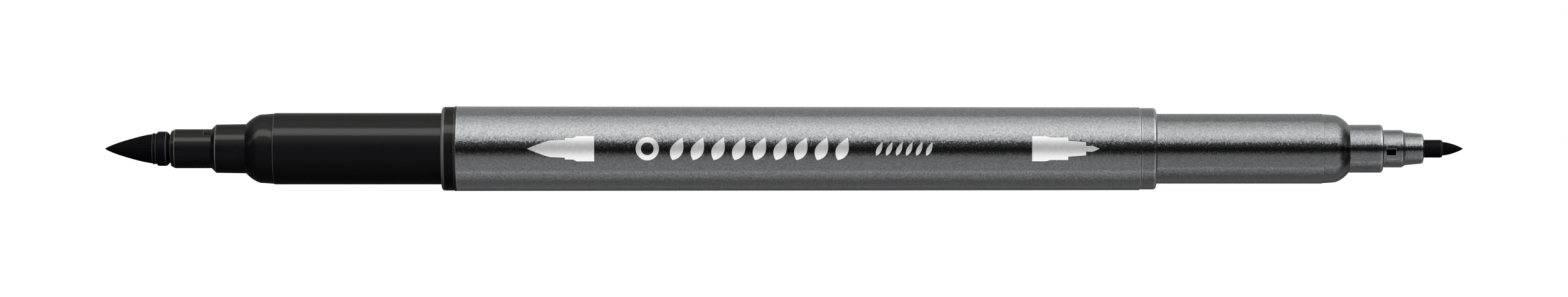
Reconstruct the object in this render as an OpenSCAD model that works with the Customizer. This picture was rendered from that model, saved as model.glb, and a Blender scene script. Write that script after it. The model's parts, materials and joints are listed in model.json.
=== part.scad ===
// Double-ended calligraphy brush marker with its caps off.
// X runs along the pen, with the large brush towards -X and the small one towards +X.
// The origin is on the pen's axis, half way between the two brush points.

/* [Barrel] */
// Length of the barrel between the two collars
barrel_len = 85.71; // [60:0.01:120]
// Outer diameter of the barrel at the large brush's end
barrel_d_large = 10.64; // [8.5:0.01:13]
// Outer diameter of the barrel at the small brush's end
barrel_d_small = 10.40; // [8.5:0.01:13]
// Wall thickness of the barrel at its thinner end
barrel_wall = 0.80; // [0.5:0.05:1.1]
// Number of ribs inside the barrel that centre the ink reservoir
rib_count = 4; // [3:1:8]
// Width of each rib
rib_w = 0.80; // [0.5:0.1:1.5]

/* [Large tip section] */
// Diameter of the collar between the barrel and the cap seat
large_collar_d = 10.52; // [8.5:0.01:13]
// Length of that collar, with its lip
large_collar_len = 1.84; // [1:0.01:4]
// Diameter of the thin lip that closes against the barrel
large_lip_d = 10.68; // [8.5:0.01:13]
// Length of that lip
large_lip_len = 0.24; // [0.1:0.01:0.8]
// Diameter of the cylinder that the large cap seats on
large_seat_d = 8.98; // [7.2:0.01:10]
// Length of that cylinder
large_seat_len = 21.00; // [12:0.01:30]
// Length of the slightly thinner band at the foot of the shoulder
large_band_len = 1.80; // [1:0.01:4]
// Diameter of that band where the shoulder begins to round over
large_band_d = 8.60; // [6.9:0.01:9.8]
// Length of the rounded shoulder
large_shoulder_len = 1.80; // [1:0.01:4]
// Diameter of the nose's rear step
large_rear_step_d = 6.14; // [5:0.01:6.8]
// Length of the nose's rear step
large_rear_step_len = 4.30; // [2:0.01:8]
// Diameter of the nose's front step
large_front_step_d = 4.91; // [4.2:0.01:5.2]
// Length of the nose's front step
large_front_step_len = 5.10; // [3.5:0.01:8]

/* [Small tip section] */
// Diameter of the collar between the barrel and the cap seat
small_collar_d = 10.24; // [8.5:0.01:13]
// Length of that collar
small_collar_len = 1.99; // [1:0.01:4]
// Diameter of the cylinder that the small cap seats on
small_seat_d = 8.78; // [7.2:0.01:10]
// Length of that cylinder
small_seat_len = 20.84; // [12:0.01:30]
// Length of the slightly thinner band at the foot of the shoulder
small_band_len = 1.74; // [1:0.01:4]
// Diameter of that band where the shoulder begins to round over
small_band_d = 8.40; // [6.9:0.01:9.8]
// Length of the rounded shoulder
small_shoulder_len = 1.65; // [1:0.01:4]
// Diameter of the nose's rear step
small_rear_step_d = 6.01; // [5:0.01:6.8]
// Length of the nose's rear step
small_rear_step_len = 4.23; // [2:0.01:8]
// Diameter of the nose's front step
small_front_step_d = 4.70; // [4.2:0.01:4.9]
// Length of the nose's front step
small_front_step_len = 2.85; // [2.3:0.01:6]
// Diameter of the cone behind the mouth, at its root
small_cone_root_d = 4.13; // [3.6:0.01:4.15]
// Diameter of that cone at the mouth
small_cone_mouth_d = 3.72; // [3:0.01:3.72]
// Length of that cone
small_cone_len = 2.25; // [1:0.01:4]

/* [Both tip sections] */
// Wall thickness round the reservoir, inside the cap seats
section_wall = 0.90; // [0.6:0.05:1.1]
// Length of the plug that each section pushes into the barrel
plug_len = 8.00; // [4:0.5:15]
// Width of each air vent round the nose
vent_w = 0.76; // [0.5:0.02:1.2]
// Length of the large section's air vents along the nose
large_vent_len = 0.88; // [0.6:0.02:1.4]
// Height of the large section's upper vent above the pen's side, in degrees
large_vent_angle = 56; // [0:1:90]
// Length of the small section's air vents along the nose
small_vent_len = 1.20; // [0.6:0.02:1.4]
// Distance of the small section's vents from its rear step
small_vent_gap = 0.34; // [0.1:0.02:0.6]
// Height of the small section's front vent above the pen's side, in degrees
small_vent_angle = -12; // [-45:1:45]

/* [Nib sleeves] */
// Diameter of the large sleeve's neck, which plugs into the nose
large_neck_d = 3.58; // [3.3:0.01:3.9]
// Length of the neck that shows between the nose and the sleeve's band
large_neck_len = 0.25; // [0.2:0.01:1.5]
// Diameter of the large sleeve's band
large_sleeve_band_d = 4.33; // [4.05:0.01:5]
// Length of the large sleeve's band
large_sleeve_band_len = 1.51; // [0.6:0.01:2.5]
// Diameter of the large sleeve's front ring
large_ring_d = 3.92; // [3.9:0.01:4.3]
// Length of the large sleeve's front ring
large_ring_len = 0.55; // [0.45:0.01:1.5]
// Length of the large sleeve held in the nose
large_sleeve_held = 3.20; // [2:0.1:3.4]
// Outer diameter of the small sleeve
small_sleeve_d = 2.24; // [2.1:0.01:2.6]
// Length of the small sleeve that stands out of the mouth
small_sleeve_len = 2.40; // [1:0.01:4]
// Length of the small sleeve held in the nose
small_sleeve_held = 2.70; // [1.5:0.1:3]

/* [Brush nibs] */
// Diameter of the large brush where it leaves its sleeve
large_brush_d = 3.72; // [3.2:0.01:3.75]
// Length of the large brush in front of its sleeve
large_brush_len = 6.03; // [4:0.01:10]
// Diameter of the large brush's stem
large_stem_d = 2.90; // [2.2:0.01:3]
// Depth of the seat in the sleeve that the large brush's head sits in
large_head_len = 0.25; // [0.2:0.05:1.2]
// Diameter of the ball that the large brush bends on
large_ball_d = 2.60; // [1.5:0.05:2.8]
// Fullness of the large brush behind its point, 1 for a straight cone
large_brush_belly = 1.15; // [1:0.05:2]
// Bluntness of the large brush's point, smaller for blunter
large_brush_taper = 0.78; // [0.6:0.01:1]
// Diameter of the small brush and of its stem
small_brush_d = 1.72; // [1.4:0.01:1.75]
// Length of the small brush in front of its sleeve
small_brush_len = 2.64; // [2:0.01:5]
// Diameter of the ball that the small brush bends on
small_ball_d = 1.20; // [0.8:0.05:1.25]
// Fullness of the small brush behind its point
small_brush_belly = 1.50; // [1:0.05:2]
// Bluntness of the small brush's point
small_brush_taper = 0.85; // [0.6:0.01:1]
// How far each brush bends up or down, in degrees
bend_max = 25; // [10:1:30]

/* [Ink reservoir] */
// Thickness of the film round the reservoir's fibre
wrap_wall = 0.10; // [0.05:0.01:0.3]
// Length of each nib's stem that is pushed into the fibre
stem_held = 7.00; // [3:0.5:15]

/* [Fits] */
// Radial gap of the pushed-together fits
fit_gap = 0.02; // [0.01:0.01:0.05]
// Radial gap round the reservoir in the sections and between the ribs
reservoir_gap = 0.05; // [0.02:0.01:0.2]
// Gap between the ball that each brush bends on and its socket
bend_gap = 0.05; // [0.03:0.01:0.1]

/* [Hidden] */
$fn = 96;
bend_steps = 6;
brush_steps = 24;
cut = 0.1; // how far a cutting tool runs past the face that it opens
edge = 0.10; // small bevel on moulded edges
collar_round = 0.40; // rounding of the collars' front corners
seat_bevel = 0.40; // length of the bevel where a cap seat steps down to its band
front_bevel_len = 0.50; // length of the bevel round a nose's front
front_bevel = 0.25; // depth of that bevel
mouth_round = 0.35; // rounding of the small section's mouth

// Distances from the barrel's end, outwards along each tip section
large_seat_end = large_collar_len + large_seat_len;
large_band_end = large_seat_end + large_band_len;
large_shoulder_end = large_band_end + large_shoulder_len;
large_rear_step_end = large_shoulder_end + large_rear_step_len;
large_nose_end = large_rear_step_end + large_front_step_len;
large_mouth = large_nose_end + large_neck_len + large_sleeve_band_len + large_ring_len;
large_point = large_mouth + large_brush_len;
small_seat_end = small_collar_len + small_seat_len;
small_band_end = small_seat_end + small_band_len;
small_shoulder_end = small_band_end + small_shoulder_len;
small_rear_step_end = small_shoulder_end + small_rear_step_len;
small_front_step_end = small_rear_step_end + small_front_step_len;
small_nose_end = small_front_step_end + small_cone_len;
small_mouth = small_nose_end + small_sleeve_len;
small_point = small_mouth + small_brush_len;

// Places along X of the barrel's two ends
overall_len = large_point + barrel_len + small_point;
barrel_x_large = large_point - overall_len / 2;
barrel_x_small = barrel_x_large + barrel_len;

// Inside the pen, from the outside in
bore_d = min(barrel_d_large, barrel_d_small) - 2 * barrel_wall;
plug_d = bore_d - 2 * fit_gap;
cavity_d = min(large_seat_d, small_seat_d, plug_d) - 2 * section_wall;
wrap_d = cavity_d - 2 * reservoir_gap;
core_d = wrap_d - 2 * wrap_wall - 2 * fit_gap;
large_bore_d = large_neck_d + 2 * fit_gap;
small_bore_d = small_sleeve_d + 2 * fit_gap;

// The reservoir is held between the ends of the two sections' cavities
large_cavity_end = large_seat_end - section_wall;
small_cavity_end = small_seat_end - section_wall;
reservoir_len = large_cavity_end + barrel_len + small_cavity_end;

// How far from the axis the tool that cuts a vent reaches
vent_reach = max(large_rear_step_d, small_rear_step_d);

// Angle from the sleeve's mouth at which the back of a brush starts, so that it can bend
bend_relief = bend_max + 3;

// Points of a smooth bend from a to b that leaves and arrives along the lines to the corner c
function bend(a, c, b, n = bend_steps) =
    [for (i = [0:n]) let (t = i / n) (1 - t) * (1 - t) * a + 2 * t * (1 - t) * c + t * t * b];

// Points of an outward corner at radius r and height z, rounded by c
function round_corner(r, z, c) = bend([r, z - c], [r, z], [r - c, z]);

// Points of a full shoulder from radius a at height z in to radius b, len further out
function shoulder(a, b, z, len) =
    bend([a, z], [a - 0.25 * (a - b), z + 0.55 * len], [b, z + len]);

// Radius of a brush of full diameter d at t, from 0 at its point to 1 at its sleeve
function brush_r(d, t, belly, taper) = d / 2 * pow(1 - pow(1 - t, belly), taper);

// Places its children, drawn outwards along +Z, at the large or the small end of the barrel
module at_large_end() { translate([barrel_x_large, 0, 0]) rotate([0, -90, 0]) children(); }
module at_small_end() { translate([barrel_x_small, 0, 0]) rotate([0, 90, 0]) children(); }

// Two opposite air vents through the nose, from height z
module vents(angle, z, vent_len) {
    for (side = [0, 180])
        rotate([0, 0, angle + side])
            translate([0, -vent_w / 2, z])
                cube([vent_reach, vent_w, vent_len]);
}

// Room inside a tip section: the reservoir's cavity, then the bore for the nib
module section_cavity(cavity_end, bore, nose_end) {
    translate([0, 0, -plug_len - cut])
        cylinder(d = cavity_d, h = plug_len + cut + cavity_end);
    cylinder(d = bore, h = nose_end + cut);
}

module barrel() {
    color([0.34, 0.34, 0.35])
        at_small_end() rotate([0, 180, 0]) {
            difference() {
                rotate_extrude() polygon([
                    [0, 0], [barrel_d_small / 2 - edge, 0], [barrel_d_small / 2, edge],
                    [barrel_d_large / 2, barrel_len - edge],
                    [barrel_d_large / 2 - edge, barrel_len], [0, barrel_len]]);
                translate([0, 0, -cut]) cylinder(d = bore_d, h = barrel_len + 2 * cut);
            }
            barrel_ribs();
        }
}

// Ribs between the two plugs, from the barrel's wall in to the reservoir
module barrel_ribs() {
    difference() {
        translate([0, 0, plug_len])
            intersection() {
                cylinder(d = bore_d + barrel_wall, h = barrel_len - 2 * plug_len);
                for (i = [0:rib_count - 1])
                    rotate([0, 0, 360 * i / rib_count])
                        translate([0, -rib_w / 2, 0])
                            cube([bore_d, rib_w, barrel_len - 2 * plug_len]);
            }
        translate([0, 0, plug_len - cut])
            cylinder(d = cavity_d, h = barrel_len - 2 * plug_len + 2 * cut);
    }
}

module large_tip_section() {
    collar_r = large_collar_d / 2;
    lip_r = large_lip_d / 2;
    seat_r = large_seat_d / 2;
    band_r = large_band_d / 2;
    rear_r = large_rear_step_d / 2;
    front_r = large_front_step_d / 2;
    color([0.06, 0.06, 0.065])
        at_large_end() difference() {
            rotate_extrude() polygon(concat(
                [[0, -plug_len], [plug_d / 2 - edge, -plug_len], [plug_d / 2, -plug_len + edge],
                    [plug_d / 2, 0], [lip_r, 0], [lip_r, large_lip_len],
                    [collar_r, large_lip_len]],
                round_corner(collar_r, large_collar_len, collar_round),
                [[seat_r, large_collar_len], [seat_r, large_seat_end],
                    [seat_r - edge, large_seat_end + seat_bevel]],
                shoulder(band_r, rear_r, large_band_end, large_shoulder_len),
                round_corner(rear_r, large_rear_step_end, rear_r - front_r),
                [[front_r, large_nose_end - front_bevel_len],
                    [front_r - front_bevel, large_nose_end], [0, large_nose_end]]));
            section_cavity(large_cavity_end, large_bore_d, large_nose_end);
            vents(large_vent_angle - 90, large_rear_step_end, large_vent_len);
        }
}

module small_tip_section() {
    collar_r = small_collar_d / 2;
    seat_r = small_seat_d / 2;
    band_r = small_band_d / 2;
    rear_r = small_rear_step_d / 2;
    front_r = small_front_step_d / 2;
    root_r = small_cone_root_d / 2;
    mouth_r = small_cone_mouth_d / 2;
    color([0.34, 0.34, 0.35])
        at_small_end() difference() {
            rotate_extrude() polygon(concat(
                [[0, -plug_len], [plug_d / 2 - edge, -plug_len], [plug_d / 2, -plug_len + edge],
                    [plug_d / 2, 0], [collar_r - edge, 0], [collar_r, edge]],
                round_corner(collar_r, small_collar_len, collar_round),
                [[seat_r, small_collar_len], [seat_r, small_seat_end],
                    [seat_r - edge / 2, small_seat_end + seat_bevel]],
                shoulder(band_r, rear_r, small_band_end, small_shoulder_len),
                round_corner(rear_r, small_rear_step_end, rear_r - front_r),
                [[front_r, small_front_step_end - front_bevel_len], [root_r, small_front_step_end]],
                round_corner(mouth_r, small_nose_end, mouth_round),
                [[0, small_nose_end]]));
            section_cavity(small_cavity_end, small_bore_d, small_nose_end);
            vents(-90 - small_vent_angle, small_rear_step_end + small_vent_gap, small_vent_len);
        }
}

// The fibre rod that holds the ink, drilled at both ends for the nibs' stems
module reservoir_core() {
    color([0.80, 0.79, 0.76])
        difference() {
            at_small_end()
                translate([0, 0, small_cavity_end - reservoir_len])
                    cylinder(d = core_d, h = reservoir_len);
            at_large_end()
                translate([0, 0, large_cavity_end - stem_held])
                    cylinder(d = large_stem_d + 2 * fit_gap, h = stem_held + cut);
            at_small_end()
                translate([0, 0, small_cavity_end - stem_held])
                    cylinder(d = small_brush_d + 2 * fit_gap, h = stem_held + cut);
        }
}

// The film sleeve round the fibre rod
module reservoir_wrap() {
    color([0.90, 0.90, 0.92])
        at_small_end()
            translate([0, 0, small_cavity_end - reservoir_len])
                difference() {
                    cylinder(d = wrap_d, h = reservoir_len);
                    translate([0, 0, -cut])
                        cylinder(d = core_d + 2 * fit_gap, h = reservoir_len + 2 * cut);
                }
}

// Ringed holder of the large brush: a neck in the nose, a wide band and a front ring
module large_nib_sleeve() {
    neck_r = large_neck_d / 2;
    band_r = large_sleeve_band_d / 2;
    ring_r = large_ring_d / 2;
    band_start = large_nose_end + large_neck_len;
    band_end = band_start + large_sleeve_band_len;
    back_bevel = 2 * edge;
    groove_start = band_end + edge;
    groove_end = groove_start + 2 * edge;
    groove_r = ring_r - edge / 2;
    sleeve_start = large_nose_end - large_sleeve_held;
    color([0.06, 0.06, 0.065])
        at_large_end() difference() {
            rotate_extrude() polygon([
                [0, sleeve_start], [neck_r, sleeve_start], [neck_r, band_start],
                [band_r - back_bevel, band_start], [band_r, band_start + 2 * back_bevel],
                [band_r, band_end - edge], [band_r - edge, band_end],
                [ring_r, band_end], [ring_r, groove_start],
                [groove_r, groove_start], [groove_r, groove_end],
                [ring_r, groove_end], [ring_r, large_mouth - edge / 2],
                [ring_r - edge / 2, large_mouth], [0, large_mouth]]);
            translate([0, 0, sleeve_start - cut])
                cylinder(d = large_stem_d + 2 * fit_gap, h = large_mouth);
            translate([0, 0, large_mouth - large_head_len])
                cylinder(d = large_brush_d + 2 * fit_gap, h = large_head_len + cut);
        }
}

// Plain tube that holds the small brush
module small_nib_sleeve() {
    sleeve_r = small_sleeve_d / 2;
    sleeve_start = small_nose_end - small_sleeve_held;
    color([0.06, 0.06, 0.065])
        at_small_end() difference() {
            rotate_extrude() polygon([
                [0, sleeve_start], [sleeve_r, sleeve_start],
                [sleeve_r, small_mouth - 2 * edge], [sleeve_r - edge, small_mouth], [0, small_mouth]]);
            translate([0, 0, sleeve_start - cut])
                cylinder(d = small_brush_d + 2 * fit_gap, h = small_mouth);
        }
}

// Front half of the ball that a brush bends on, which stands out of the sleeve's mouth
module bend_ball(d) {
    intersection() {
        sphere(d = d);
        translate([0, 0, d / 2]) cube(d + cut, center = true);
    }
}

// The held part of the large brush: its stem, its head in the sleeve and the ball it bends on
module large_brush_stem() {
    stem_start = large_cavity_end - stem_held;
    color([0.09, 0.09, 0.10])
        at_large_end() {
            translate([0, 0, stem_start])
                cylinder(d = large_stem_d, h = large_mouth - large_head_len - stem_start);
            translate([0, 0, large_mouth - large_head_len])
                cylinder(d = large_brush_d, h = large_head_len);
            translate([0, 0, large_mouth]) bend_ball(large_ball_d);
        }
}

// The held part of the small brush
module small_brush_stem() {
    stem_start = small_cavity_end - stem_held;
    color([0.09, 0.09, 0.10])
        at_small_end() {
            translate([0, 0, stem_start])
                cylinder(d = small_brush_d, h = small_mouth - stem_start);
            translate([0, 0, small_mouth]) bend_ball(small_ball_d);
        }
}

// The free part of a brush. Its back is hollowed to a cone that clears the sleeve when it bends,
// and socketed for the ball at its root.
module brush_tip(d, len, ball_d, belly, taper) {
    skirt = d / 2 * tan(bend_relief);
    difference() {
        rotate_extrude() polygon(concat([[0, 0]],
            [for (i = [0:brush_steps])
                let (z = skirt + (len - skirt) * i / brush_steps)
                [i == brush_steps ? 0 : brush_r(d, 1 - z / len, belly, taper), z]]));
        sphere(d = ball_d + 2 * bend_gap);
    }
}

module large_brush_tip() {
    color([0.09, 0.09, 0.10])
        at_large_end() translate([0, 0, large_mouth])
            brush_tip(large_brush_d, large_brush_len, large_ball_d, large_brush_belly, large_brush_taper);
}

module small_brush_tip() {
    color([0.09, 0.09, 0.10])
        at_small_end() translate([0, 0, small_mouth])
            brush_tip(small_brush_d, small_brush_len, small_ball_d, small_brush_belly, small_brush_taper);
}

barrel();
large_tip_section();
small_tip_section();
reservoir_core();
reservoir_wrap();
large_nib_sleeve();
small_nib_sleeve();
large_brush_stem();
large_brush_tip();
small_brush_stem();
small_brush_tip();
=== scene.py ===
import json
import math

import bmesh
import bpy
from mathutils import Matrix, Vector
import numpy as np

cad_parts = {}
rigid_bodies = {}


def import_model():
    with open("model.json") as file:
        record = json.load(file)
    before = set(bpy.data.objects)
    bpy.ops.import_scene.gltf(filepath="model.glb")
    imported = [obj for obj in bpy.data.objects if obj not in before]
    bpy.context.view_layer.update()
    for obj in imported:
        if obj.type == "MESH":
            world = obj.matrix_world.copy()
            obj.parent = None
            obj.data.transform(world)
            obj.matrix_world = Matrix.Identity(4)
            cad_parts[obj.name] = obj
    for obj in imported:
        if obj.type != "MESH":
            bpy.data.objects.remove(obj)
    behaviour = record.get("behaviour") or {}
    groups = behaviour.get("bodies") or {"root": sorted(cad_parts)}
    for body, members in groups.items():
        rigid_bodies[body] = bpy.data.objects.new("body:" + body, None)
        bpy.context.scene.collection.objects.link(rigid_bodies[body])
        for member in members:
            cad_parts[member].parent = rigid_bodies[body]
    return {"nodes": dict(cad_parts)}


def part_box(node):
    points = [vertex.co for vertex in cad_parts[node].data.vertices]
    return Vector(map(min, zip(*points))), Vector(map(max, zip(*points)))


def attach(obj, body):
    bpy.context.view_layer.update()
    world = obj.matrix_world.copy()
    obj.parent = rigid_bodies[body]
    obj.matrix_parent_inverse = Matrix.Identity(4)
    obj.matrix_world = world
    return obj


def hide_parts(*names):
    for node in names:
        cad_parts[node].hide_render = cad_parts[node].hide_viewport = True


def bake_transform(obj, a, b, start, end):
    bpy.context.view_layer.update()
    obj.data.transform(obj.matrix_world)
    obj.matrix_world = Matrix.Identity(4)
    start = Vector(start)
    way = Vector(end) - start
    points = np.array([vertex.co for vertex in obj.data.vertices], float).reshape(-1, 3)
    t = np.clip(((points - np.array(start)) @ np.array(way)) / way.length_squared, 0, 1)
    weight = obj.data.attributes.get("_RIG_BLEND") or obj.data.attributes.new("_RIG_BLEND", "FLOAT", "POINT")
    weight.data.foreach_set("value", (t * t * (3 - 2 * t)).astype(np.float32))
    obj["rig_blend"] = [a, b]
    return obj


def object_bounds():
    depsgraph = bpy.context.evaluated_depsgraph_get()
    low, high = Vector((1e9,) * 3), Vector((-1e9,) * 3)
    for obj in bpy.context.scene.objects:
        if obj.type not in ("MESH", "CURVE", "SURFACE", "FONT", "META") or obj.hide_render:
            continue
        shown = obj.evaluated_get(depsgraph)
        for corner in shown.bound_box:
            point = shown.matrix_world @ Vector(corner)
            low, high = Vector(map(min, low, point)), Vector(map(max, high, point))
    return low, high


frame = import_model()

cad_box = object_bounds()

# ---- Studio -------------------------------------------------------------------------------------
# The pen lies on a pale sheet of card, and the camera looks level and square on at its middle. Three
# tubes of glowing panels stand in for softboxes. Each lights one group of finishes and nothing else,
# so this isn't a studio that could be built.

MM = 0.001
pen_low, pen_high = cad_box
pen_middle = (pen_low + pen_high) / 2
camera_distance = 780 * MM
pen_share_of_view = 0.866
camera_rise = 0.03 * MM
sensor_width = 36

camera_data = bpy.data.cameras.new("camera")
camera_data.sensor_width = sensor_width
camera_data.lens = sensor_width * camera_distance / ((pen_high.x - pen_low.x) / pen_share_of_view)
camera_data.clip_start = 10 * MM
camera_data.clip_end = 20
camera = bpy.data.objects.new("camera", camera_data)
camera.location = pen_middle + Vector((0, -camera_distance, camera_rise))
camera.rotation_euler = (math.radians(90), 0, 0)
bpy.context.scene.collection.objects.link(camera)
bpy.context.scene.camera = camera
bpy.context.scene.view_settings.view_transform = "Standard"


class Value:
    """A node's output, which adds, multiplies and so on like a number."""

    def __init__(self, tree, node, output=0):
        self.tree = tree
        self.node = node
        self.socket = node.outputs[output]

    def output(self, name):
        return Value(self.tree, self.node, name)

    def math(self, operation, *numbers):
        return self.tree.add("Math", {"operation": operation}, dict(enumerate(numbers)))

    def __add__(self, other):
        return self.math("ADD", self, other)

    def __sub__(self, other):
        return self.math("SUBTRACT", self, other)

    def __rsub__(self, other):
        return self.math("SUBTRACT", other, self)

    def __mul__(self, other):
        return self.math("MULTIPLY", self, other)

    __radd__ = __add__
    __rmul__ = __mul__

    def __truediv__(self, other):
        return self.math("DIVIDE", self, other)


class Nodes:
    """The node tree of a material or of the world."""

    def __init__(self, tree):
        self.tree = tree
        tree.nodes.clear()

    def add(self, kind, settings=None, inputs=None):
        node = self.tree.nodes.new("ShaderNode" + kind)
        for name, setting in (settings or {}).items():
            if name == "stops":
                set_stops(node.color_ramp, setting)
            else:
                setattr(node, name, setting)
        for name, value in (inputs or {}).items():
            if isinstance(value, Value):
                self.tree.links.new(value.socket, node.inputs[name])
            else:
                node.inputs[name].default_value = value
        return Value(self, node) if node.outputs else None

    def mix_colours(self, factor, a, b):
        """a where factor is 0 and b where it is 1."""
        return self.add("Mix", {"data_type": "RGBA"}, {0: factor, 6: a, 7: b}).output(2)


def set_stops(ramp, stops):
    """Puts (place, grey or colour) stops on a colour ramp."""
    while len(ramp.elements) < len(stops):
        ramp.elements.new(1)
    for element, (place, shade) in zip(ramp.elements, stops):
        element.position = place
        element.color = (*shade, 1) if isinstance(shade, tuple) else (shade, shade, shade, 1)


# The lacquered parts, the foil and the black parts each have a surround of panels that they alone
# reflect, as they would when shot apart. Each list gives the surround's brightness by the angle in
# degrees, from the camera's direction up and round the pen. They were set over many trials.
lacquer_panels = (
    (-180, 0.10), (-150, 0.10), (-138, 0.21), (-101, 0.187), (-96, 0.21), (-89, 0.30), (-79, 0.40),
    (-71, 0.48), (-68, 0.64), (-65, 0.52), (-61, 0.36), (-52, 0.40), (-38, 0.375), (-27, 0.33),
    (-20, 0.25), (-14, 0.10), (-9, 0.02), (0, 0.012), (8, 0.05), (15, 0.10), (19.5, 0.20),
    (23, 0.92), (30, 1.09), (36, 1.40), (42, 1.60), (54, 1.60), (62, 1.53), (70, 1.36), (80, 1.08),
    (97, 0.85), (103, 0.47), (180, 0.44))
black_panels = (
    (-180, 0.03), (-100, 0.03), (-60, 0.06), (-30, 0.09), (0, 0.05), (14, 0.12), (20, 0.18),
    (24, 0.30), (36, 0.42), (43, 0.46), (46, 2.10), (64, 2.30), (68, 1.90), (71, 0.60), (94, 0.52),
    (108, 0.32), (130, 0.20), (180, 0.20))
foil_panels = (
    (-180, 0.50), (-90, 0.90), (-30, 1.08), (-24, 1.03), (-18, 0.96), (-14, 0.80), (-8, 0.60),
    (-3, 0.48), (1, 0.42), (7, 0.44), (12, 0.52), (17, 0.64), (22, 0.88), (28, 1.05), (33, 1.20),
    (60, 1.25), (120, 1.00), (180, 0.50))
surround_half_length = 40
surround_sides = 64
dims_from, dims_until, dimmed_to = 0.62, 0.90, 0.12


def surround(name, panels, radius, tint=(1, 1, 1)):
    """A long tube of panels round the pen that only lights the pieces put in its collection."""
    brightest = max(level for _, level in panels)
    material = bpy.data.materials.new(name)
    material.use_nodes = True
    material.cycles.emission_sampling = "NONE"
    nodes = Nodes(material.node_tree)
    place = nodes.add("TexCoord").output("Object")
    towards = nodes.add("SeparateXYZ", {}, {
        "Vector": nodes.add("VectorMath", {"operation": "NORMALIZE"}, {0: place})})
    front = 0 - towards.output("Y")
    angle = front.math("ARCTAN2", towards.output("Z"), front)
    panel = nodes.add("ValToRGB", {"stops": [
        ((degrees + 180) / 360, tuple(level / brightest * share for share in tint))
        for degrees, level in panels]}, {"Fac": angle / math.tau + 0.5})
    side_dim = nodes.add("MapRange", {"interpolation_type": "SMOOTHSTEP"}, {
        "Value": front.math("ABSOLUTE", towards.output("X")),
        "From Min": dims_from, "From Max": dims_until, "To Min": 1.0, "To Max": dimmed_to})
    light = nodes.add("Emission", {}, {"Color": panel, "Strength": side_dim * brightest})
    clear = nodes.add("BsdfTransparent")
    nodes.add("OutputMaterial", {}, {"Surface": nodes.add("AddShader", {}, {0: light, 1: clear})})
    turns = [math.tau * side / surround_sides for side in range(surround_sides)]
    mesh = bpy.data.meshes.new(name)
    mesh.from_pydata([(x, radius * math.cos(turn), radius * math.sin(turn))
        for x in (-surround_half_length, surround_half_length) for turn in turns], [],
        [(i, (i + 1) % surround_sides, (i + 1) % surround_sides + surround_sides, i + surround_sides)
        for i in range(surround_sides)])
    mesh.materials.append(material)
    tube = bpy.data.objects.new(name, mesh)
    tube.visible_camera = False
    tube.visible_shadow = False
    tube.light_linking.receiver_collection = bpy.data.collections.new(name + "_lights")
    bpy.context.scene.collection.objects.link(tube)
    return tube.light_linking.receiver_collection.objects


lit_as_lacquer = surround("lacquer_surround", lacquer_panels, radius=6.0)
lit_as_black = surround("black_surround", black_panels, radius=6.5, tint=(1, 0.99, 0.93))
lit_as_foil = surround("foil_surround", foil_panels, radius=7.0)

studio = bpy.data.worlds.new("studio")
studio.use_nodes = True
bpy.context.scene.world = studio
sky = Nodes(studio.node_tree)
dark = sky.add("Background", {}, {"Strength": 0.0})
white = sky.add("Background", {}, {"Color": (1, 1, 1, 1), "Strength": 1.0})
seen = sky.add("LightPath").output("Is Camera Ray")
sky.add("OutputWorld", {}, {"Surface": sky.add("MixShader", {}, {0: seen, 1: dark, 2: white})})

# A broad lamp near the camera fills in what is matt, such as the black edges painted lighter as a highlight,
# with no glint.
fill_lamp = bpy.data.lights.new("fill", "SUN")
fill_lamp.energy = 2.6
fill_lamp.angle = math.radians(60)
fill = bpy.data.objects.new("fill", fill_lamp)
fill.rotation_euler = (math.radians(72), 0, 0)
fill.visible_glossy = False
bpy.context.scene.collection.objects.link(fill)


def finish(name, constants, links=None):
    """A material with one shader. links(nodes) gives the inputs that vary over the surface."""
    material = bpy.data.materials.new(name)
    material.use_nodes = True
    nodes = Nodes(material.node_tree)
    inputs = dict(constants)
    inputs.update(links(nodes) if links else {})
    surface = nodes.add("BsdfPrincipled", {}, inputs)
    nodes.add("OutputMaterial", {}, {"Surface": surface})
    return material


# The card that the pen lies on: pale, matt, and lit enough to look white.
floor_size = 30
floor_mesh = bpy.data.meshes.new("floor")
corners = [(x * floor_size, y * floor_size, 0) for x, y in ((-1, -1), (1, -1), (1, 1), (-1, 1))]
floor_mesh.from_pydata(corners, [], [(0, 1, 2, 3)])
floor = bpy.data.objects.new("floor", floor_mesh)
floor.location.z = pen_low.z
floor.visible_glossy = False
floor.visible_diffuse = False
floor_mesh.materials.append(finish("card", {
    "Base Color": (0.5, 0.5, 0.5, 1), "Roughness": 1.0, "Specular IOR Level": 0.0,
    "Emission Color": (1, 1, 1, 1), "Emission Strength": 0.95}))
bpy.context.scene.collection.objects.link(floor)


# ---- Barrel -------------------------------------------------------------------------------------
# A slightly tapered plastic tube, moulded and sprayed with a dark grey lacquer full of fine silver
# flake. Its rims are softly rounded, and four ribs inside hold the ink reservoir in the middle.

sides = 192


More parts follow.
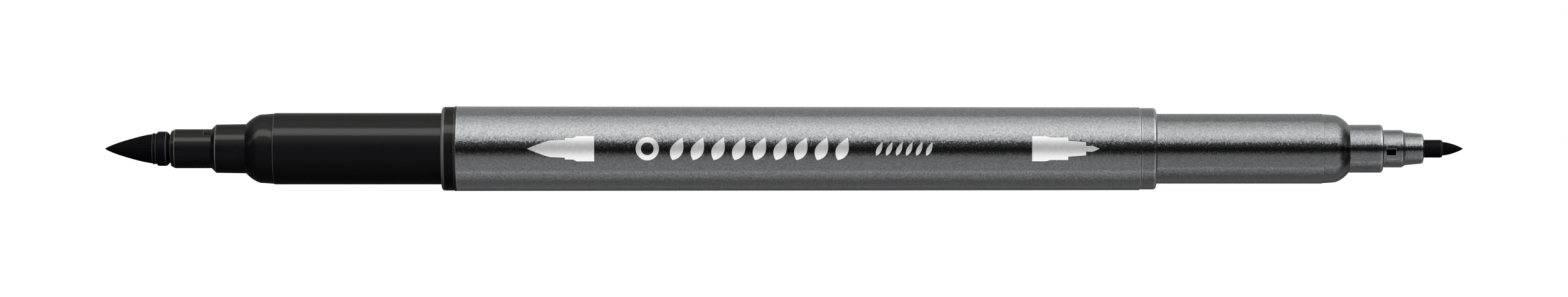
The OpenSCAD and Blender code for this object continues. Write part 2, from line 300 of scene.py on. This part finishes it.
def rounded(corners, steps=5):
    """The outline through (x, radius, rounding) corners, each rounded by its own radius. Gives
    three values a point: x, radius, and 1 on a rounded edge that is painted lighter as a highlight, else 0."""
    points = []
    for i, (x, r, rounding) in enumerate(corners):
        here = Vector((x, r))
        before = Vector(corners[i - 1][:2]) - here
        after = Vector(corners[(i + 1) % len(corners)][:2]) - here
        if rounding == 0:
            points.append((x, r, 0))
            continue
        turn = before.angle(after)
        back = min(rounding / math.tan(turn / 2), 0.49 * before.length, 0.49 * after.length)
        start = here + before.normalized() * back
        end = here + after.normalized() * back
        radius = back * math.tan(turn / 2)
        inwards = (before.normalized() + after.normalized()).normalized()
        centre = here + inwards * (radius / math.sin(turn / 2))
        sweep = (start - centre).angle_signed(end - centre)
        flat = min(0.3 * rounding, 0.2 * before.length, 0.2 * after.length)
        points.append((*(start + before.normalized() * flat), 0))
        for step in range(steps + 1):
            spoke = start - centre
            turned_by = -sweep * step / steps
            cos, sin = math.cos(turned_by), math.sin(turned_by)
            place = centre + Vector((spoke.x * cos - spoke.y * sin, spoke.x * sin + spoke.y * cos))
            points.append((*place, 1))
        points.append((*(end + after.normalized() * flat), 0))
    return points


def turned(outline, windows=(), start_angle=0.0, relief=None):
    """A bmesh turned round the X axis from a closed outline of (x, radius, painted edge highlight)
    points, and the edges round its windows. Column 0 is start_angle above the pen's front. Each window is
    (outer, inner, outer columns, inner columns): it opens the strips that start at those outline points.
    relief(x, angle) gives a height to add to the radius."""
    made = bmesh.new()
    # Per-vertex weight of the painted edge highlight: the materials paint a lighter colour where it is 1.
    painted_highlight_layer = made.verts.layers.float.new("wear")
    rings = []
    for x, r, wear in outline:
        if r == 0:
            rings.append([made.verts.new((x, 0, 0))] * sides)
            continue
        ring = []
        for column in range(sides):
            turn = math.radians(start_angle) + math.tau * column / sides
            reach = r + (relief(x, turn) if relief else 0)
            vert = made.verts.new((x, -reach * math.cos(turn), reach * math.sin(turn)))
            vert[painted_highlight_layer] = wear
            ring.append(vert)
        rings.append(ring)
    opened = set()
    for outer, inner, outer_columns, inner_columns in windows:
        opened.update((outer, column % sides) for column in range(*outer_columns))
        opened.update((inner, column % sides) for column in range(*inner_columns))
    for i, ring in enumerate(rings):
        after = rings[(i + 1) % len(rings)]
        for j in range(sides):
            k = (j + 1) % sides
            face = list(dict.fromkeys((ring[j], ring[k], after[k], after[j])))
            if len(face) > 2 and (i, j) not in opened:
                made.faces.new(face)
    rims = []
    for outer, inner, outer_columns, inner_columns in windows:
        across = range(outer_columns[0], outer_columns[1] + 1)
        below = range(inner_columns[1], inner_columns[0] - 1, -1)
        for top, bottom in ((rings[outer], rings[inner + 1]), (rings[outer + 1], rings[inner])):
            lip = [top[j % sides] for j in across]
            made.faces.new(lip + [bottom[j % sides] for j in below])
            rims += zip(lip, lip[1:])
        for j, k in zip(outer_columns, inner_columns):
            j, k = j % sides, k % sides
            made.faces.new((rings[outer][j], rings[outer + 1][j], rings[inner][k], rings[inner + 1][k]))
            rims.append((rings[outer][j], rings[outer + 1][j]))
    return made, [made.edges.get(pair) for pair in rims]


def new_piece(name, made, material, slot, replaced=(), body="pen"):
    """Turns a bmesh in millimetres into a piece of the pen that rides on a body."""
    mesh = bpy.data.meshes.new(name)
    bmesh.ops.recalc_face_normals(made, faces=made.faces)
    bmesh.ops.scale(made, vec=(MM, MM, MM), verts=made.verts)
    made.to_mesh(mesh)
    made.free()
    for polygon in mesh.polygons:
        polygon.use_smooth = True
    mesh.set_sharp_from_angle(angle=math.radians(40))
    mesh.materials.append(material)
    piece = bpy.data.objects.new(name, mesh)
    bpy.context.scene.collection.objects.link(piece)
    if body:
        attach(piece, body)
    lights = {"metallic_grey": lit_as_lacquer, "silver_foil": lit_as_foil}
    lights.get(slot, lit_as_black).link(piece)
    if replaced:
        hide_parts(*replaced)
    return piece


def flaked(nodes, tone=1.0):
    """Silver flake in lacquer: every flake lies at its own small tilt and has its own brightness,
    and the flake lies thicker in places. tone darkens the lacquer."""
    place = nodes.add("TexCoord").output("Object")
    flake_size = 0.12 * MM
    cluster_size = 0.24 * MM
    small_tilt, large_tilt = 0.06, 0.12
    flakes = nodes.add("TexVoronoi", {"voronoi_dimensions": "3D"}, {
        "Vector": place, "Scale": 1 / flake_size, "Randomness": 1.0})
    tilt = nodes.add("VectorMath", {"operation": "SUBTRACT"}, {
        0: flakes.output("Color"), 1: (0.5, 0.5, 0.5)})
    grain = nodes.add("SeparateColor", {}, {"Color": flakes.output("Color")})
    cluster = nodes.add("TexNoise", {}, {"Vector": place, "Scale": 1 / cluster_size, "Detail": 1.0})
    stray = grain.output("Green").math("POWER", grain.output("Green"), 6)
    amount = small_tilt + stray * large_tilt
    tilt = nodes.add("VectorMath", {"operation": "SCALE"}, {0: tilt, "Scale": amount})
    normal = nodes.add("NewGeometry").output("Normal")
    tilted = nodes.add("VectorMath", {"operation": "ADD"}, {0: normal, 1: tilt})
    tilted = nodes.add("VectorMath", {"operation": "NORMALIZE"}, {0: tilted})
    painted_highlight_mask = nodes.add("Attribute", {"attribute_name": "wear"}).output("Fac")
    dark = [tone * level for level in (0.22, 0.222, 0.229)]
    light = [tone * level for level in (0.47, 0.475, 0.486)]
    silver = grain.output("Blue") * 0.4 + cluster * 1.1 - 0.25
    colour = nodes.mix_colours(silver, (*dark, 1), (*light, 1))
    # Painted highlight: the lacquer is painted a lighter silver grey along rounded edges, standing in for
    # light caught by them.
    colour = nodes.mix_colours(painted_highlight_mask * 0.5, colour, (0.75, 0.75, 0.76, 1))
    return {"Base Color": colour, "Normal": tilted, "Roughness": 0.10 + grain.output("Red") * 0.07}


grey_lacquer = finish("grey_lacquer", {"Metallic": 1.0}, flaked)

barrel_low, barrel_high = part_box("barrel")
barrel_x_large = barrel_low.x / MM
barrel_x_small = barrel_high.x / MM
barrel_r_large = 5.32
barrel_r_small = 5.20
barrel_bore_r = 4.40
barrel_rim = 0.12
plug_length = 8.0
rib_count = 4
rib_half_width = 0.40
rib_inner_r = 3.48
rib_outer_r = 4.60
barrel_mesh, _ = turned(rounded([
    (barrel_x_large, barrel_bore_r, 0), (barrel_x_large, barrel_r_large, barrel_rim),
    (barrel_x_small, barrel_r_small, barrel_rim), (barrel_x_small, barrel_bore_r, 0)]))
for rib in range(rib_count):
    rib_turn = Matrix.Rotation(math.tau * rib / rib_count, 4, "X")
    half_length = (barrel_x_small - barrel_x_large) / 2 - plug_length
    rib_size = Matrix.Diagonal((2 * half_length, 2 * rib_half_width, rib_outer_r - rib_inner_r, 1))
    rib_place = Matrix.Translation((
        (barrel_x_small + barrel_x_large) / 2, 0, (rib_outer_r + rib_inner_r) / 2))
    bmesh.ops.create_cube(barrel_mesh, size=1, matrix=rib_turn @ rib_place @ rib_size)
new_piece("barrel_shell", barrel_mesh, grey_lacquer, "metallic_grey", ["barrel"])


# ---- Foil decoration ----------------------------------------------------------------------------
# Silver-white foil, hot-stamped on the barrel's front: a picture of the brush beside each end, and
# between them a plain ornament of a ring, slanted dabs of a brush and a row of smaller dabs.

foil_thickness = 0.012
foil_strip = 0.2


def stamped(name, outlines):
    """Foil inside closed outlines of (x, height) points, pressed on to the barrel's front."""
    flat = bmesh.new()
    for outline in outlines:
        flat.faces.new([flat.verts.new((x, 0, z)) for x, z in outline])
    bmesh.ops.remove_doubles(flat, verts=flat.verts, dist=1e-4)
    bmesh.ops.triangulate(flat, faces=flat.faces, ngon_method="EAR_CLIP")
    tallest = max(vert.co.z for vert in flat.verts)
    steps = math.ceil(tallest / foil_strip)
    for level in range(-steps, steps + 1):
        everything = flat.verts[:] + flat.edges[:] + flat.faces[:]
        bmesh.ops.bisect_plane(flat, geom=everything, dist=1e-5,
            plane_co=(0, 0, level * foil_strip), plane_no=(0, 0, 1))
    made = bmesh.new()
    layers = []
    for height in (foil_thickness, -foil_thickness):
        layer = {}
        for vert in flat.verts:
            along = (vert.co.x - barrel_x_large) / (barrel_x_small - barrel_x_large)
            r = barrel_r_large + along * (barrel_r_small - barrel_r_large)
            turn = math.asin(vert.co.z / r)
            reach = r + height
            layer[vert] = made.verts.new((vert.co.x, -reach * math.cos(turn), reach * math.sin(turn)))
        for face in flat.faces:
            made.faces.new([layer[vert] for vert in face.verts])
        layers.append(layer)
    top, bottom = layers
    for edge in flat.edges:
        if edge.is_boundary:
            a, b = edge.verts
            made.faces.new((top[a], top[b], bottom[b], bottom[a]))
    flat.free()
    return new_piece(name, made, silver_foil, "silver_foil")


def foiled(nodes):
    """Silver-white foil, with the fine mottle of the pressed surface."""
    place = nodes.add("TexCoord").output("Object")
    mottle = nodes.add("TexNoise", {}, {"Vector": place, "Scale": 2500.0, "Detail": 3.0})
    colour = nodes.mix_colours(mottle, (0.80, 0.80, 0.81, 1), (0.94, 0.94, 0.94, 1))
    bump = nodes.add("Bump", {}, {"Height": mottle, "Strength": 0.2, "Distance": 0.01 * MM})
    return {"Base Color": colour, "Roughness": 0.18 + mottle * 0.10, "Normal": bump}


silver_foil = finish("silver_foil", {"Metallic": 1.0}, foiled)


def mirrored(half):
    """A closed outline from its upper half, which runs from one end of the axis to the other."""
    return half + [(x, -z) for x, z in reversed(half) if z > 0]


def brush_belly(length, half_width, steps=10):
    """Upper outline of a brush, from its point to its full width: (distance, height) points."""
    return [(length * t, half_width * (1 - (1 - t) ** 1.25)) for t in
        (step / steps for step in range(steps + 1))]


large_sign_gap = 9.00
large_sign = brush_belly(2.99, 1.04) + [(4.72, 1.11), (4.72, 1.34), (5.75, 1.34), (6.22, 1.57),
    (8.38, 1.57)]
large_sign_x = barrel_x_large + large_sign_gap
stamped("foil_large_brush_sign", [mirrored([(large_sign_x + d, z) for d, z in large_sign])])

small_sign_gap = 5.29
small_sign = brush_belly(0.97, 0.38, 5) + [(1.68, 0.34), (1.68, 0.82), (3.91, 0.99), (3.91, 1.40),
    (6.09, 1.40), (6.72, 1.56), (8.40, 1.56)]
small_sign_x = barrel_x_small - small_sign_gap
stamped("foil_small_brush_sign", [mirrored([(small_sign_x - d, z) for d, z in small_sign])])


def dab(x, length, width, lean, steps=14):
    """Outline of one dab of a brush: a leaf, fullest below its middle, leaning to the right."""
    outline = []
    for step in range(2 * steps):
        t = step / steps if step < steps else 2 - step / steps
        side = 1 if step < steps else -1
        half = side * width / 2 * math.sin(math.pi * t ** 0.8)
        up = (t - 0.5) * length
        outline.append((x + up * math.sin(lean) + half * math.cos(lean),
            up * math.cos(lean) - half * math.sin(lean)))
    return outline


def ring_pieces(x, outer, inner, steps=64):
    """Outlines of a ring, as four-sided pieces that meet side to side."""
    spokes = [(math.cos(math.tau * step / steps), math.sin(math.tau * step / steps))
        for step in range(steps + 1)]
    pieces = []
    for a, b in zip(spokes, spokes[1:]):
        corners = ((inner, a), (outer, a), (outer, b), (inner, b))
        pieces.append([(x + r * cos, r * sin) for r, (cos, sin) in corners])
    return pieces


ring_x = -17.05
ring_outer_r = 1.45
ring_inner_r = 0.80
dab_count = 9
dab_first_x = -13.3
dab_pitch = 2.58
dab_size = (3.1, 1.55)
small_dab_count = 6
small_dab_first_x = 11.9
small_dab_pitch = 1.25
small_dab_size = (1.9, 0.62)
dab_lean = math.radians(24)
ornament = ring_pieces(ring_x, ring_outer_r, ring_inner_r)
for i in range(dab_count):
    ornament.append(dab(dab_first_x + i * dab_pitch, *dab_size, dab_lean))
for i in range(small_dab_count):
    ornament.append(dab(small_dab_first_x + i * small_dab_pitch, *small_dab_size, dab_lean))
stamped("foil_ornament", ornament)


# ---- Large tip section --------------------------------------------------------------------------
# The black front end, moulded in one with its collar, the seat of the cap, the shoulder and the
# two-step nose. It is pushed into the barrel, and two small vents in the nose let air back in.


def bow(a, corner, b, steps=8):
    """Outline points of a curve from a to b that leaves and arrives along the lines to corner."""
    a, corner, b = Vector(a), Vector(corner), Vector(b)
    curve = []
    for t in (step / steps for step in range(1, steps)):
        curve.append((*(a * (1 - t) ** 2 + corner * 2 * t * (1 - t) + b * t * t), 0))
    return curve


def satin(nodes):
    """Satin black moulding, with a very fine texture and a highlight painted lighter along its edges."""
    place = nodes.add("TexCoord").output("Object")
    cloud = nodes.add("TexNoise", {}, {"Vector": place, "Scale": 900.0, "Detail": 3.0})
    fine = nodes.add("TexNoise", {}, {"Vector": place, "Scale": 9000.0, "Detail": 2.0})
    painted_highlight_mask = nodes.add("Attribute", {"attribute_name": "wear"}).output("Fac")
    colour = nodes.mix_colours(cloud, (0.0034, 0.0033, 0.0044, 1), (0.0054, 0.0053, 0.0066, 1))
    # Painted highlight: rounded edges and vent rims are painted a light grey where the edge highlight weight
    # is set.
    colour = nodes.mix_colours(painted_highlight_mask, colour, (0.11, 0.11, 0.105, 1))
    bump = nodes.add("Bump", {}, {"Height": fine, "Strength": 0.12, "Distance": 0.01 * MM})
    return {"Base Color": colour, "Roughness": 0.11 + fine * 0.06, "Normal": bump}


black_moulding = finish("black_moulding", {"IOR": 1.48}, satin)


def tip_section(name, at, outline, window, material, slot, replaced):
    """A turned tip section with two opposite vents. at(u) gives X for a distance u outwards from
    the barrel. window is (start, end, angle, outer columns, inner columns) of the front vent."""
    start, end, angle, outer_columns, inner_columns = window
    points = [(at(u), r, wear) for u, r, wear in outline]
    outer, _, inner, _ = (i for i, (u, _, _) in enumerate(outline) if u in (start, end))
    half_turn = sides // 2
    openings = [(outer, inner, outer_columns, inner_columns),
        (outer, inner, [c + half_turn for c in outer_columns], [c + half_turn for c in inner_columns])]
    mesh, rims = turned(points, openings, start_angle=angle)
    painted_highlight_layer = mesh.verts.layers.float["wear"]
    before = set(mesh.verts)
    bmesh.ops.bevel(mesh, geom=rims, offset=vent_bevel, segments=2, affect="EDGES")
    # The new vent rim vertices get a 0.6 weight of the painted edge highlight, so their rims are painted
    # lighter.
    for vert in mesh.verts:
        if vert not in before:
            vert[painted_highlight_layer] = 0.6
    return new_piece(name, mesh, material, slot, replaced)


def large_at(u):
    return barrel_x_large - u


vent_bevel = 0.045
vent_outer = (-5, 5)
section_plug_r = 4.38
plug_edge = 0.10
collar_edge = 0.36
section_cavity_r = 3.48
section_end_wall = 0.90
parting = 0.08
large_lip_r = 5.34
large_lip = 0.24
large_collar_r = 5.26
large_collar = 1.84
large_seat_r = 4.49
large_seat = large_collar + 21.00
large_band_root_r = 4.42
large_band_r = 4.30
large_band = large_seat + 1.80
large_shoulder = large_band + 1.80
large_rear_root_r = 3.10
large_rear_r = 3.04
large_rear_step = large_shoulder + 4.30
large_front_r = 2.455
large_nose = large_rear_step + 5.10
large_nose_r = 2.20
large_bore_r = 1.81
large_cavity = large_seat - section_end_wall
large_vent = (large_rear_step + 0.05, large_rear_step + 0.90)
large_outline = rounded([
    (-plug_length, section_cavity_r, 0), (-plug_length, section_plug_r, plug_edge), (0, section_plug_r, 0),
    (0, large_lip_r, 0.04), (large_lip, large_lip_r, 0.04), (large_lip, large_collar_r, 0),
    (large_collar, large_collar_r, collar_edge), (large_collar, large_seat_r, 0),
    (large_seat, large_seat_r, 0.05), (large_seat + parting, large_band_root_r, 0)])
large_outline += [(large_band - 0.6, 4.335, 0), (large_band, large_band_r, 0)]
large_outline += bow((large_band, large_band_r), (large_band + 0.99, 4.00),
    (large_shoulder, large_rear_root_r))
large_outline += rounded([
    (large_shoulder, large_rear_root_r, 0), (large_rear_step - 0.55, large_rear_r, 0.14),
    (large_rear_step, large_front_r + 0.04, 0)])
large_outline += [(u, large_front_r, 0) for u in (large_rear_step, *large_vent)]
large_outline += rounded([
    (large_vent[1] + 0.2, large_front_r, 0), (large_nose - 0.5, large_front_r, 0.12),
    (large_nose, large_nose_r, 0.06), (large_nose, large_bore_r, 0)])
large_outline += [(large_vent[1], large_bore_r, 0), (large_vent[0], large_bore_r, 0),
    (large_cavity, large_bore_r, 0), (large_cavity, section_cavity_r, 0)]
tip_section("large_tip_section_shell", large_at, large_outline,
    (*large_vent, 56, vent_outer, (-6, 6)), black_moulding, "black_moulding", ["large_tip_section"])


# ---- Small tip section --------------------------------------------------------------------------
# The grey end, moulded in one like the black one and lacquered like the barrel. Its nose ends in a
# short cone with a rounded mouth, and its two vents are plain windows that widen inwards.


def small_at(u):
    return barrel_x_small + u


section_lacquer = finish("section_lacquer", {"Metallic": 1.0}, lambda nodes: flaked(nodes, 0.88))

small_collar_r = 5.12
small_collar = 1.99
small_seat_r = 4.39
small_seat = small_collar + 20.84
small_band_root_r = 4.34
small_band_r = 4.20
small_band = small_seat + 1.74
small_shoulder = small_band + 1.65
small_rear_r = 3.005
small_rear_step = small_shoulder + 4.23
small_front_r = 2.35
small_front_step = small_rear_step + 2.85
small_cone_r = 2.065
small_mouth_r = 1.86
small_nose = small_front_step + 2.25
small_collet_r = 1.30
small_collet = small_nose + 0.10
small_bore_r = 1.14
small_cavity = small_seat - section_end_wall
small_vent = (small_rear_step + 0.34, small_rear_step + 1.54)
small_outline = rounded([
    (-plug_length, section_cavity_r, 0), (-plug_length, section_plug_r, plug_edge), (0, section_plug_r, 0),
    (0, small_collar_r, 0.12), (small_collar, small_collar_r, collar_edge), (small_collar, small_seat_r, 0),
    (small_seat, small_seat_r, 0.04), (small_seat + parting, small_band_root_r, 0)])
small_outline += [(small_band - 0.4, 4.25, 0), (small_band, small_band_r, 0)]
small_outline += bow((small_band, small_band_r), (small_band + 0.91, 3.90),
    (small_shoulder, small_rear_r))
small_outline += rounded([
    (small_shoulder, small_rear_r, 0), (small_rear_step, small_rear_r, 0.45),
    (small_rear_step, small_front_r - 0.02, 0)])
small_outline += [(u, small_front_r, 0) for u in small_vent]
small_outline += rounded([
    (small_vent[1] + 0.1, small_front_r, 0), (small_front_step - 0.45, small_front_r, 0.15),
    (small_front_step, small_cone_r, 0), (small_nose, small_mouth_r, 0.30),
    (small_nose, small_collet_r, 0), (small_collet, small_collet_r - 0.08, 0.08),
    (small_collet, small_bore_r, 0)])
small_outline += [(small_vent[1], small_bore_r, 0), (small_vent[0], small_bore_r, 0),
    (small_cavity, small_bore_r, 0), (small_cavity, section_cavity_r, 0)]
tip_section("small_tip_section_shell", small_at, small_outline,
    (*small_vent, -12, (-5, 6), (-10, 8)), section_lacquer, "metallic_grey", ["small_tip_section"])


# ---- Nib sleeves --------------------------------------------------------------------------------
# Glossy black turned-looking mouldings that hold the nibs, pushed into the two noses. The large
# one has a wide band and a ring in front of it, and the small one is a plain tube.


def glossy(nodes):
    """Deep black with faint turning marks, and a highlight painted lighter along the edges."""
    place = nodes.add("TexCoord").output("Object")
    ringed = nodes.add("Mapping", {}, {"Vector": place, "Scale": (12000, 300, 300)})
    marks = nodes.add("TexNoise", {}, {"Vector": ringed, "Scale": 1.0, "Detail": 2.0})
    painted_highlight_mask = nodes.add("Attribute", {"attribute_name": "wear"}).output("Fac")
    colour = nodes.mix_colours(marks, (0.0024, 0.0024, 0.0034, 1), (0.0052, 0.0052, 0.0066, 1))
    # Painted highlight: rounded edges are painted a light grey where the edge highlight weight is set.
    colour = nodes.mix_colours(painted_highlight_mask, colour, (0.085, 0.085, 0.09, 1))
    bump = nodes.add("Bump", {}, {"Height": marks, "Strength": 0.15, "Distance": 0.01 * MM})
    return {"Base Color": colour, "Roughness": 0.30 + marks * 0.15, "Normal": bump}


gloss_black = finish("gloss_black", {"IOR": 1.4, "Specular IOR Level": 0.10}, glossy)

large_sleeve_held = 3.20
large_neck_r = 1.79
large_neck = large_nose + 0.25
large_band_step_r = 2.165
large_band_step = large_neck + 1.51
large_ring_r = 1.96
large_groove = large_band_step + 0.12
large_mouth = large_band_step + 0.55
large_seat_in_sleeve = large_mouth - 0.25
large_brush_r = 1.86
large_stem_r = 1.45
nib_gap = 0.02
large_sleeve_outline = rounded([
    (large_nose - large_sleeve_held, large_stem_r + nib_gap, 0),
    (large_nose - large_sleeve_held, large_neck_r, 0), (large_neck, large_neck_r, 0),
    (large_neck + 0.06, large_band_step_r - 0.2, 0), (large_neck + 0.34, large_band_step_r, 0.10),
    (large_band_step - 0.10, large_band_step_r, 0), (large_band_step, large_ring_r + 0.01, 0),
    (large_groove, large_ring_r, 0.05), (large_groove + 0.03, large_ring_r - 0.05, 0),
    (large_groove + 0.20, large_ring_r - 0.05, 0), (large_groove + 0.23, large_ring_r, 0),
    (large_mouth, large_ring_r, 0.09), (large_mouth, large_brush_r + nib_gap, 0),
    (large_seat_in_sleeve, large_brush_r + nib_gap, 0),
    (large_seat_in_sleeve, large_stem_r + nib_gap, 0)])
large_sleeve_mesh, _ = turned([(large_at(u), r, wear) for u, r, wear in large_sleeve_outline])
new_piece("large_nib_sleeve_shell", large_sleeve_mesh, gloss_black, "gloss_black", ["large_nib_sleeve"])

small_sleeve_held = 2.70
small_sleeve_r = 1.12
small_brush_r = 0.86
small_mouth = small_nose + 2.40
small_sleeve_outline = rounded([
    (small_nose - small_sleeve_held, small_brush_r + nib_gap, 0),
    (small_nose - small_sleeve_held, small_sleeve_r, 0), (small_mouth - 0.20, small_sleeve_r, 0.05),
    (small_mouth, small_sleeve_r - 0.10, 0.04), (small_mouth, small_brush_r + nib_gap, 0)])
small_sleeve_mesh, _ = turned([(small_at(u), r, wear) for u, r, wear in small_sleeve_outline])
new_piece("small_nib_sleeve_shell", small_sleeve_mesh, gloss_black, "gloss_black", ["small_nib_sleeve"])


# ---- Brush nibs ---------------------------------------------------------------------------------
# Bundles of fine fibre soaked in black ink, ground to a point. Each is one piece from the stem in
# the ink reservoir to the point, and bends where it leaves its sleeve.


def fibrous(nodes):
    """Ink-black fibres that run along the nib, with a faint blue sheen where they stand proud."""
    place = nodes.add("TexCoord").output("Object")
    strands = nodes.add("Mapping", {}, {"Vector": place, "Scale": (350, 14000, 14000)})
    strand = nodes.add("TexNoise", {}, {"Vector": strands, "Scale": 1.0, "Detail": 2.0})
    speckle = nodes.add("TexNoise", {}, {"Vector": place, "Scale": 12000.0, "Detail": 1.0})
    mixed = strand * 0.7 + speckle * 0.3
    colour = nodes.mix_colours(mixed, (0.0008, 0.0008, 0.0014, 1), (0.0040, 0.0042, 0.0060, 1))
    bump = nodes.add("Bump", {}, {"Height": mixed, "Strength": 0.5, "Distance": 0.02 * MM})
    return {"Base Color": colour, "Roughness": 0.55 + strand * 0.3, "Normal": bump}


brush_fibre = finish("brush_fibre", {
    "IOR": 1.35, "Specular IOR Level": 0.10, "Sheen Weight": 0.008}, fibrous)


def nib(name, at, start, seat, mouth, point, stem_r, full_r, belly, taper, bodies, replaced):
    """A nib from its stem in the reservoir to its point, all distances outwards from the barrel.
    belly and taper shape the brush: how full it is behind the point, and how blunt the point."""
    outline = rounded([
        (start, 0, 0), (start, stem_r, 0.1), (seat, stem_r, 0), (seat, full_r, 0), (mouth, full_r, 0)])
    steps = 36
    length = point - mouth
    for step in range(1, steps):
        t = 1 - (step / steps) ** 0.85
        outline.append((mouth + length * (1 - t), full_r * (1 - (1 - t) ** belly) ** taper, 0))
    outline.append((point, 0, 0))
    ridge_height = 0.011 * full_r
    coarse_ridges, fine_ridges = 29, 47
    mouth_x, point_x = at(mouth), at(point)

    def ridges(x, turn):
        out = (x - mouth_x) / (point_x - mouth_x)
        if out <= 0:
            return 0
        sway = 0.6 * math.sin(3 * turn + 5 * out)
        wave = math.sin(coarse_ridges * turn + sway)
        wave += 0.7 * math.sin(fine_ridges * turn - 2 * sway + 1.3)
        return ridge_height * wave * min(1, 6 * out) * (1 - out) ** 0.5

    mesh, _ = turned([(at(u), r, wear) for u, r, wear in outline], relief=ridges)
    piece = new_piece(name, mesh, brush_fibre, "brush_fibre", replaced, body=None)
    bend_end = mouth_x + bend_share * (point_x - mouth_x)
    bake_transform(piece, *bodies, start=(mouth_x * MM, 0, 0), end=(bend_end * MM, 0, 0))
    return piece


def distance_out(x, at):
    """How far outwards from the barrel a place X on the frame is."""
    return abs(x / MM - at(0))


stem_in_reservoir = 7.0
bend_share = 0.6
nib("large_brush_nib", large_at, large_cavity - stem_in_reservoir, large_seat_in_sleeve, large_mouth,
    distance_out(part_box("large_brush_tip")[0].x, large_at), large_stem_r, large_brush_r, 1.15, 0.78,
    ("pen", "large_brush"), ["large_brush_stem", "large_brush_tip"])
nib("small_brush_nib", small_at, small_cavity - stem_in_reservoir, small_mouth - 0.5, small_mouth,
    distance_out(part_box("small_brush_tip")[1].x, small_at), small_brush_r - 0.001, small_brush_r,
    1.50, 0.85, ("pen", "small_brush"), ["small_brush_stem", "small_brush_tip"])


# ---- Ink reservoir ------------------------------------------------------------------------------
# A rod of bundled fibre that holds the ink, in a sleeve of thin clear film. It is held between the
# ends of the two sections' cavities and can't be seen from outside.


def soaked(nodes):
    """Bundled fibre, streaked along the rod, dark where the ink has gathered."""
    place = nodes.add("TexCoord").output("Object")
    strands = nodes.add("Mapping", {}, {"Vector": place, "Scale": (120, 5000, 5000)})
    strand = nodes.add("TexNoise", {}, {"Vector": strands, "Scale": 1.0, "Detail": 3.0})
    pools = nodes.add("TexNoise", {}, {"Vector": place, "Scale": 90.0, "Detail": 2.0})
    ink = nodes.mix_colours(pools, (0.010, 0.010, 0.014, 1), (0.045, 0.045, 0.055, 1))
    colour = nodes.mix_colours(strand * 0.4, ink, (0.20, 0.20, 0.22, 1))
    bump = nodes.add("Bump", {}, {"Height": strand, "Strength": 0.6, "Distance": 0.03 * MM})
    return {"Base Color": colour, "Roughness": 0.65 + strand * 0.25, "Normal": bump}


def filmy(nodes):
    """Thin clear film with soft wrinkles."""
    place = nodes.add("TexCoord").output("Object")
    wrinkles = nodes.add("TexNoise", {}, {"Vector": place, "Scale": 700.0, "Detail": 3.0})
    colour = nodes.mix_colours(wrinkles, (0.72, 0.73, 0.76, 1), (0.90, 0.90, 0.92, 1))
    bump = nodes.add("Bump", {}, {"Height": wrinkles, "Strength": 0.3, "Distance": 0.03 * MM})
    return {"Base Color": colour, "Roughness": 0.08 + wrinkles * 0.12, "Normal": bump,
        "Alpha": 0.22 + wrinkles * 0.2}


reservoir_fibre = finish("reservoir_fibre", {"Specular IOR Level": 0.3}, soaked)
clear_film = finish("clear_film", {"IOR": 1.5}, filmy)
for node_name, material in (("reservoir_core", reservoir_fibre), ("reservoir_wrap", clear_film)):
    cad_mesh = frame["nodes"][node_name].data
    cad_mesh.materials.clear()
    cad_mesh.materials.append(material)
